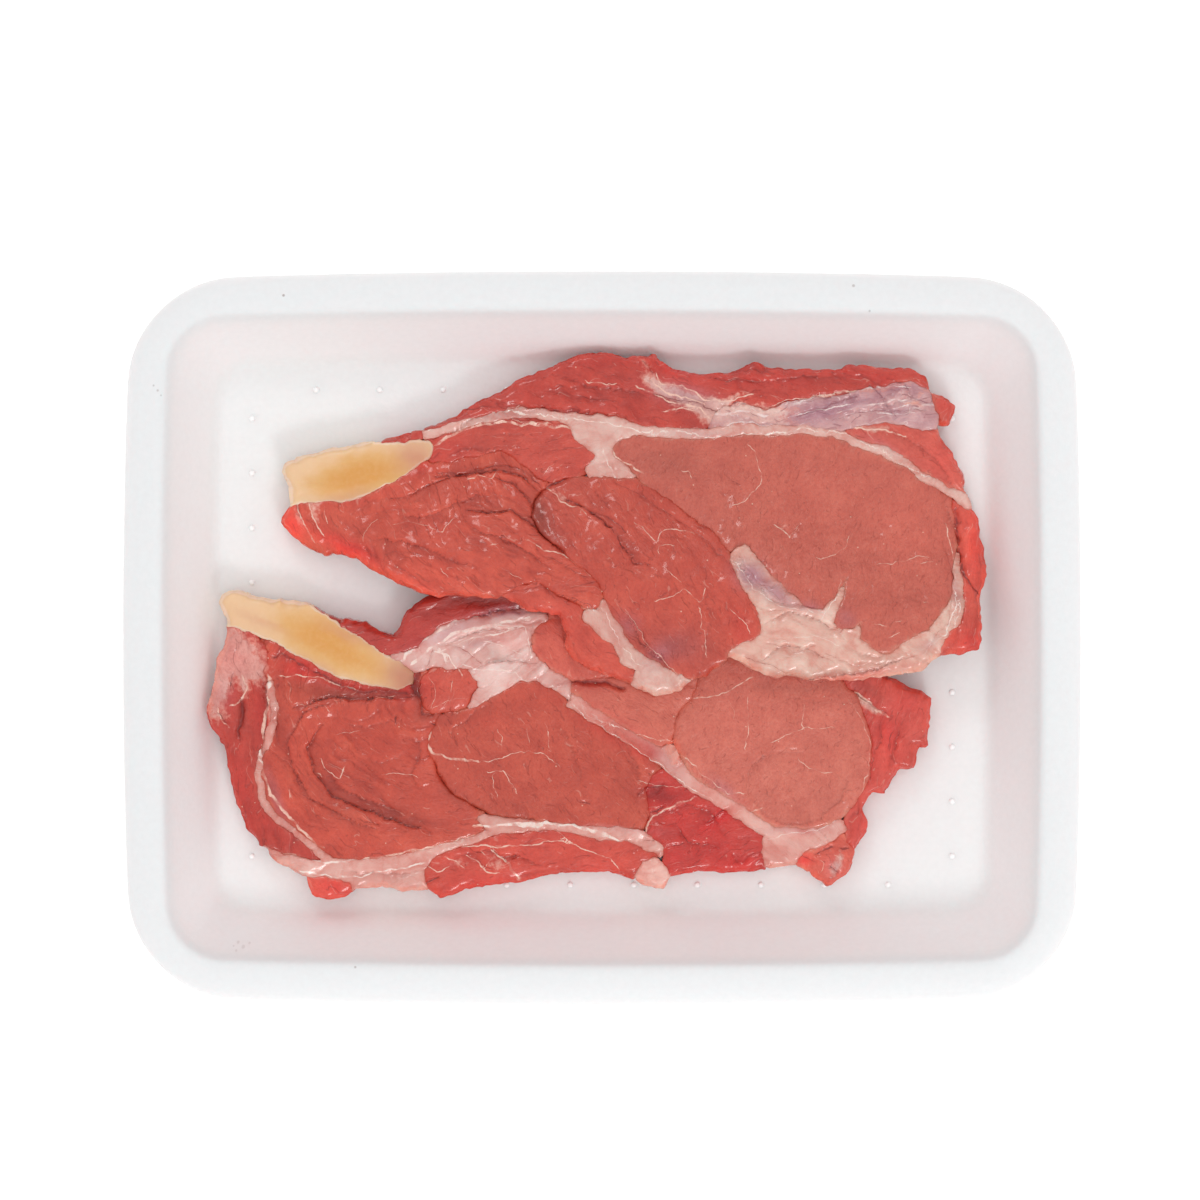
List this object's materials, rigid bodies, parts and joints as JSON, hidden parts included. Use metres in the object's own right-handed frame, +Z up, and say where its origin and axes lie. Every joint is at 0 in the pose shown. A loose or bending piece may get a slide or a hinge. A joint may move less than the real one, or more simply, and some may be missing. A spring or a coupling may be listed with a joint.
{
  "type": "foam tray of raw meat slices",
  "caption": "Open white foam tray with rounded rim holding overlapping raw meat slices, each with seams of fat and a wedge of cartilage.",
  "frame": {"origin": "centre of the underside of the tray", "axes": "+X along the tray's length, +Y across it, +Z up out of the tray"},
  "size_m": [0.235, 0.18, 0.025],
  "materials": {
    "foam": "soft white expanded foam with a fine bead texture, matt",
    "lean_meat": "moist raw lean meat, cut across the grain, soft sheen",
    "fat": "cream white fat and gristle with a pink tint, soft sheen",
    "silverskin": "thin bluish white membrane over lean, moist",
    "cartilage": "smooth translucent cartilage, amber in the middle and cream at its edges"
  },
  "bodies": {
    "root": {"foam_tray": "foam", "lower_cartilage": "cartilage", "lower_top_fat": "fat", "lower_seam_fat": "fat", "lower_fat_blob": "fat", "lower_band_fat": "fat", "lower_corner_scrap": "lean_meat", "lower_rim_muscle": "lean_meat", "lower_round_muscle": "lean_meat", "lower_middle_muscle": "lean_meat", "lower_small_muscle": "lean_meat", "lower_wedge_muscle": "lean_meat", "lower_eye_muscle": "lean_meat", "lower_flap_muscle": "lean_meat", "lower_curled_muscle": "lean_meat", "lower_red_muscle": "lean_meat", "lower_top_muscle": "lean_meat", "lower_bottom_muscle": "lean_meat", "lower_left_muscle": "lean_meat", "upper_cartilage": "cartilage", "upper_seam_fat": "fat", "upper_fat_lump": "fat", "upper_bottom_fat": "fat", "upper_silverskin": "silverskin", "upper_cap_muscle": "lean_meat", "upper_tab": "lean_meat", "upper_right_muscle": "lean_meat", "upper_edge_muscle": "lean_meat", "upper_eye_muscle": "lean_meat", "upper_middle_muscle": "lean_meat", "upper_shoulder_muscle": "lean_meat", "upper_lower_muscle": "lean_meat", "upper_left_muscle": "lean_meat"}
  },
  "joints": []
}
